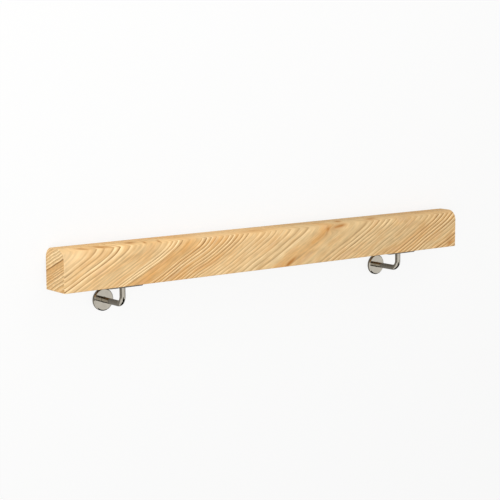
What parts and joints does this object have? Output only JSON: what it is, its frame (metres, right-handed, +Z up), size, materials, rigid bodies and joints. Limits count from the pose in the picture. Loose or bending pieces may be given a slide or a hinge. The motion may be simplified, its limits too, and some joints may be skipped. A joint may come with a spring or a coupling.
{
  "type": "stair handrail length",
  "caption": "Straight wooden stair handrail with rounded top edges on bent polished steel wall brackets with round wall discs.",
  "frame": {"origin": "on the floor, below the middle of the box of the whole set as it lies on its back", "axes": "+X along the rail, +Z up from the floor; the rail's front face looks up and towards +Y, and the wall discs' backs look down"},
  "size_m": [0.75, 0.1254, 0.0655],
  "materials": {
    "pine": "planed and sanded softwood with plain growth lines",
    "polished_steel": "mirror polished stainless steel",
    "screw_steel": "plain stainless wood screw"
  },
  "bodies": {
    "root": {"rail": "pine", "wall_disc_left": "polished_steel", "arm_left": "polished_steel", "saddle_left": "polished_steel", "screw_left_outer": "screw_steel", "screw_left_inner": "screw_steel", "wall_disc_right": "polished_steel", "arm_right": "polished_steel", "saddle_right": "polished_steel", "screw_right_outer": "screw_steel", "screw_right_inner": "screw_steel"}
  },
  "joints": []
}
